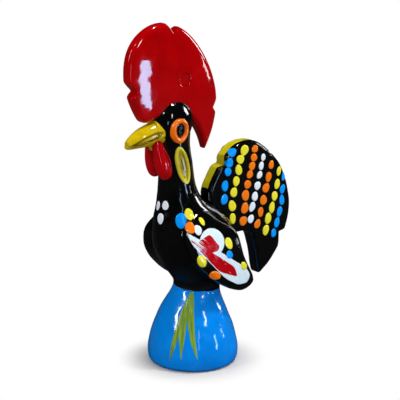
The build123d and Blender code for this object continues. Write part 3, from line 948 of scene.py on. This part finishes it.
class ROOSTER_OT_tail_daubs(bpy.types.Operator):
    """Set the columns of daubs on both faces of the tail"""

    bl_idname = "rooster.tail_daubs"
    bl_label = "Tail Daubs"

    def execute(self, context):
        rise = context.scene.rooster_sizes.daub_rise
        tree = pieces_tree(["tail_skin"])
        for side, sign in SIDES.items():
            daubs = []
            back, _ = RIGHT_SHIFT["tail"] if side == "right" else (0, 0)
            for column, (colour, lean, places) in enumerate(TAIL_COLUMNS):
                for row, (x, z, width, height) in enumerate(places):
                    start = Vector(((x + back) * MM, sign * TAIL_RAY_START * MM, z * MM))
                    tilt = -sign * (lean + 6 * math.sin(4 * row + column))
                    daubs.append((colour, (tree, start, Vector((0, -sign, 0)), width * MM, height * MM, tilt,
                                           rise, 1.7 * row + column)))
            for colour, group in grouped(daubs).items():
                piece = daub_object("tail_daubs_%s_%s" % (colour, side), group, colour)
        return {"FINISHED"}


class ROOSTER_OT_wing_daubs(bpy.types.Operator):
    """Set the daubs on shoulders, wings and chest"""

    bl_idname = "rooster.wing_daubs"
    bl_label = "Wing and Chest Daubs"

    def execute(self, context):
        rise = context.scene.rooster_sizes.daub_rise
        tree = pieces_tree(["body_skin", "wing_left_skin", "wing_right_skin"])
        for side, sign in SIDES.items():
            daubs = []
            for area, places in (("shoulder", SHOULDER_DAUBS), ("wing", WING_DAUBS)):
                back, up = RIGHT_SHIFT[area] if side == "right" else (0, 0)
                for row, (colour, (x, z), width, height, lean) in enumerate(places):
                    start = Vector(((x + back) * MM, sign * WING_RAY_START * MM, (z + up) * MM))
                    daubs.append((colour, (tree, start, Vector((0, -sign, 0)), width * MM, height * MM,
                                           -sign * lean, rise, 2.1 * row)))
            for colour, group in grouped(daubs).items():
                piece = daub_object("wing_daubs_%s_%s" % (colour, side), group, colour)
        daubs = []
        for row, (angle, z, width, height) in enumerate(CHEST_DAUBS):
            turn = math.radians(angle)
            out = Vector((-math.cos(turn), -math.sin(turn), 0))
            start = Vector((0, 0, z * MM)) + out * (CHEST_RAY_START * MM)
            daubs.append((tree, start, -out, width * MM, height * MM, 0, rise, 1.3 * row))
        daub_object("chest_daubs_white", daubs, "white")
        return {"FINISHED"}


def aim(thing, target):
    """Turn a lamp or camera towards a point."""
    thing.rotation_euler = (target - thing.location).to_track_quat("-Z", "Y").to_euler()


def softbox(name, place, target, width, height, brightness, tint):
    """A rectangular lamp of a surface brightness."""
    lamp = bpy.data.lights.new(name, "AREA")
    lamp.shape = "RECTANGLE"
    lamp.size = width
    lamp.size_y = height
    lamp.color = tint
    lamp.energy = brightness * math.pi * width * height * bpy.context.scene.rooster_studio.lamp_level
    made = bpy.data.objects.new(name, lamp)
    bpy.context.scene.collection.objects.link(made)
    made.location = place
    aim(made, Vector(target))


class ROOSTER_OT_stage(bpy.types.Operator):
    """Set floor, lamps, world and camera"""

    bl_idname = "rooster.stage"
    bl_label = "Stage"

    def execute(self, context):
        studio = context.scene.rooster_studio
        self.make_floor()
        self.make_world(context.scene)
        for lamp in LAMPS:
            softbox(*lamp)
        self.make_camera(context.scene, studio)
        context.scene.view_settings.view_transform = "Standard"
        return {"FINISHED"}

    def make_floor(self):
        """A pale floor that fades to white away from the figure, and looks dim in the varnish."""
        work = bmesh.new()
        bmesh.ops.create_grid(work, x_segments=2, y_segments=2, size=FLOOR_HALF_SIDE)
        mesh = bpy.data.meshes.new("floor")
        work.to_mesh(mesh)
        work.free()
        floor = bpy.data.objects.new("floor", mesh)
        bpy.context.scene.collection.objects.link(floor)
        enamel = Enamel("floor paper")
        away = (enamel.x * enamel.x + enamel.y * enamel.y) ** 0.5
        mirrored = enamel.node("ShaderNodeLightPath", output="Is Glossy Ray")
        seen = enamel.node("ShaderNodeLightPath", output="Is Camera Ray")
        pale = enamel.mix(enamel.noise(3.0), *FLOOR_PALE)
        tone = enamel.mix(mirrored, enamel.mix(seen, FLOOR_BOUNCE, pale), FLOOR_MIRRORED)
        paper = enamel.node("ShaderNodeBsdfDiffuse", sockets={"Color": tone})
        bright = enamel.node("ShaderNodeEmission", sockets={"Color": (1, 1, 1, 1), "Strength": 1.0})
        fade = away.ramp(*FLOOR_FADE) * seen
        both = enamel.node("ShaderNodeMixShader", sockets={0: fade, 1: paper, 2: bright})
        mesh.materials.append(enamel.surface(both))

    def make_world(self, scene):
        """White where the camera sees it, soft grey light on the figure, and dim walls in the varnish."""
        world = bpy.data.worlds.new("studio")
        nodes = Nodes(world)
        mirrored = nodes.node("ShaderNodeLightPath", output="Is Glossy Ray")
        seen = nodes.node("ShaderNodeLightPath", output="Is Camera Ray")
        walls = nodes.mix(seen, nodes.mix(mirrored, WALL_LIGHT, WALL_MIRRORED), WHITE)
        light = nodes.node("ShaderNodeBackground", sockets={"Color": walls})
        nodes.node("ShaderNodeOutputWorld", sockets={"Surface": light})
        scene.world = world

    def make_camera(self, scene, studio):
        """A long lens at the photograph's angle."""
        turn, lift = studio.azimuth, studio.elevation
        target = Vector(AIM_POINT)
        back = Vector((math.sin(turn) * math.cos(lift), -math.cos(turn) * math.cos(lift), math.sin(lift)))
        data = bpy.data.cameras.new("camera")
        data.sensor_width = 36
        data.lens = studio.lens
        data.shift_x, data.shift_y = (shift / PICTURE_WIDTH for shift in PICTURE_SHIFT)
        data.clip_start = 0.05
        camera = bpy.data.objects.new("camera", data)
        scene.collection.objects.link(camera)
        camera.location = target + back * studio.distance
        aim(camera, target)
        scene.camera = camera


OPERATORS = [
    ROOSTER_OT_stage, ROOSTER_OT_base, ROOSTER_OT_body, ROOSTER_OT_tail, ROOSTER_OT_comb, ROOSTER_OT_beak,
    ROOSTER_OT_wattles, ROOSTER_OT_ear_lobes, ROOSTER_OT_eyes, ROOSTER_OT_tail_daubs, ROOSTER_OT_wing_daubs,
]
GROUPS = {"rooster_sizes": RoosterSizes, "rooster_colours": RoosterColours, "rooster_studio": RoosterStudio}


class ROOSTER_PT_panel(bpy.types.Panel):
    """Lists the pieces of the rooster and its sizes and paints"""

    bl_idname = "ROOSTER_PT_panel"
    bl_label = "Clay Rooster"
    bl_space_type = "VIEW_3D"
    bl_region_type = "UI"
    bl_category = "Rooster"

    def draw(self, context):
        for operator in OPERATORS:
            self.layout.operator(operator.bl_idname)
        for name, group in GROUPS.items():
            box = self.layout.box()
            for key in group.__annotations__:
                box.prop(getattr(context.scene, name), key)


def register():
    for group in GROUPS.values():
        bpy.utils.register_class(group)
    for name, group in GROUPS.items():
        setattr(bpy.types.Scene, name, bpy.props.PointerProperty(type=group))
    for operator in OPERATORS:
        bpy.utils.register_class(operator)
    bpy.utils.register_class(ROOSTER_PT_panel)


def unregister():
    bpy.utils.unregister_class(ROOSTER_PT_panel)
    for operator in reversed(OPERATORS):
        bpy.utils.unregister_class(operator)
    for name, group in GROUPS.items():
        delattr(bpy.types.Scene, name)
        bpy.utils.unregister_class(group)


def main():
    """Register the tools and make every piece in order."""
    register()
    for operator in OPERATORS:
        group, name = operator.bl_idname.split(".")
        getattr(getattr(bpy.ops, group), name)()


if __name__ == "__main__":
    main()
